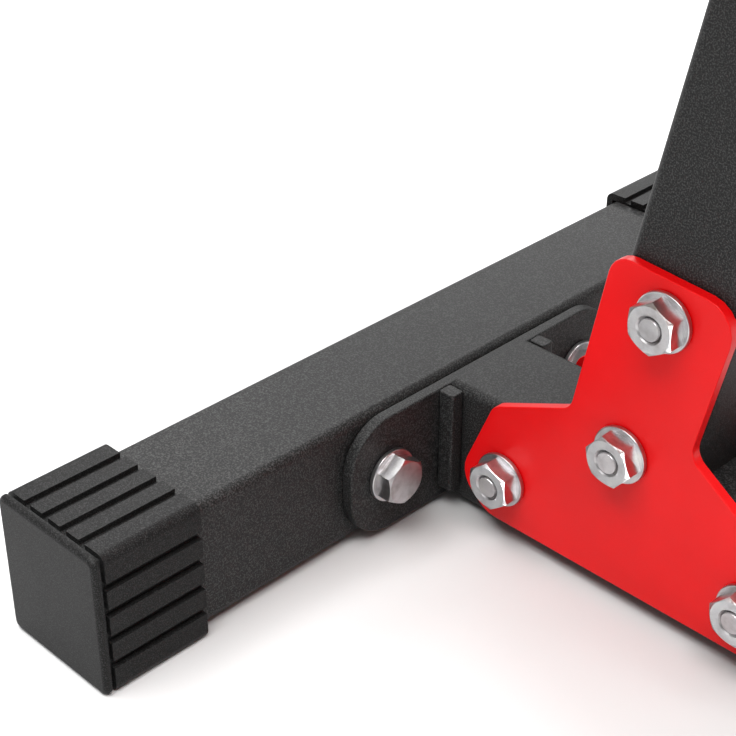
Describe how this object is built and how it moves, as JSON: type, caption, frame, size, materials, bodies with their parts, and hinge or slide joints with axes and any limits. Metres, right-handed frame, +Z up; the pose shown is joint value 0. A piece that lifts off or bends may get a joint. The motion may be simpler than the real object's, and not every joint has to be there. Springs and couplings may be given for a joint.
{
  "type": "adjustable weight bench",
  "caption": "Adjustable weight bench: bolted steel base on capped feet, leaning post with red plates, and a seat and a back that tilt on sector plates with pull pins.",
  "frame": {"origin": "on the floor, under the middle of the bench's length and width", "axes": "+X from the seat end to the head end, +Y to the bench's far side, +Z up"},
  "size_m": [1.21, 0.48, 0.442],
  "materials": {
    "frame_black": "fine-textured matt black powder coat",
    "plate_red": "smooth satin red powder coat",
    "zinc": "bright zinc plate",
    "cap_plastic": "satin moulded black plastic",
    "pad_vinyl": "grained black upholstery vinyl",
    "board_wood": "bare plywood",
    "rubber": "matt black rubber",
    "bush_nylon": "natural nylon"
  },
  "bodies": {
    "base": {"front_crossbar": "frame_black", "rear_crossbar": "frame_black", "main_beam": "frame_black", "front_flange": "frame_black", "rear_flange": "frame_black", "front_strip_near": "frame_black", "front_strip_far": "frame_black", "post": "frame_black", "rest_post": "frame_black", "wheel_ear_near": "frame_black", "wheel_ear_far": "frame_black", "gusset_plate_near": "plate_red", "gusset_plate_far": "plate_red", "head_plate_near": "plate_red", "head_plate_far": "plate_red", "front_flange_bolt_near": "zinc", "front_flange_bolt_far": "zinc", "rear_flange_bolt_near": "zinc", "rear_flange_bolt_far": "zinc", "gusset_bolt_1": "zinc", "gusset_bolt_2": "zinc", "gusset_bolt_3": "zinc", "gusset_bolt_4": "zinc", "head_bolt_lower": "zinc", "head_bolt_upper": "zinc", "back_pivot_bolt": "zinc", "seat_pivot_bolt": "zinc", "back_pin_barrel": "zinc", "seat_pin_barrel": "zinc", "wheel_axle_near": "zinc", "wheel_axle_far": "zinc", "front_cap_near": "cap_plastic", "front_cap_far": "cap_plastic", "rear_cap_near": "cap_plastic", "rear_cap_far": "cap_plastic", "rest_bumper": "rubber"},
    "seat": {"seat_rail": "frame_black", "seat_rail_plug": "cap_plastic", "seat_sector": "plate_red", "seat_bush": "bush_nylon", "seat_handle": "frame_black", "seat_bracket_front": "frame_black", "seat_bracket_rear": "frame_black", "seat_board": "board_wood", "seat_pad": "pad_vinyl"},
    "back": {"back_rail": "frame_black", "back_rail_plug": "cap_plastic", "back_sector": "plate_red", "back_bush": "bush_nylon", "back_bracket_front": "frame_black", "back_bracket_rear": "frame_black", "back_board": "board_wood", "back_pad": "pad_vinyl"},
    "back_pin": {"back_pull_pin": "zinc", "back_pin_knob": "cap_plastic"},
    "seat_pin": {"seat_pull_pin": "zinc", "seat_pin_knob": "cap_plastic"},
    "wheel_near": {"wheel_near": "rubber"},
    "wheel_far": {"wheel_far": "rubber"}
  },
  "joints": [
    {"name": "back_tilt", "type": "hinge", "parent": "base", "child": "back", "pos_m": [-0.237, 0, 0.366], "axis": [0, -1, 0], "range_deg": [0, 75]},
    {"name": "seat_tilt", "type": "hinge", "parent": "base", "child": "seat", "pos_m": [-0.325, 0, 0.366], "axis": [0, 1, 0], "range_deg": [0, 20]},
    {"name": "back_pin_slide", "type": "slide", "parent": "base", "child": "back_pin", "axis": [0, 1, 0], "range_m": [0, 0.011]},
    {"name": "seat_pin_slide", "type": "slide", "parent": "base", "child": "seat_pin", "axis": [0, -1, 0], "range_m": [0, 0.011]},
    {"name": "wheel_near_spin", "type": "hinge", "parent": "base", "child": "wheel_near", "pos_m": [0.569, -0.1685, 0.0325], "axis": [0, 1, 0], "continuous": true},
    {"name": "wheel_far_spin", "type": "hinge", "parent": "base", "child": "wheel_far", "pos_m": [0.569, 0.1685, 0.0325], "axis": [0, 1, 0], "continuous": true}
  ]
}
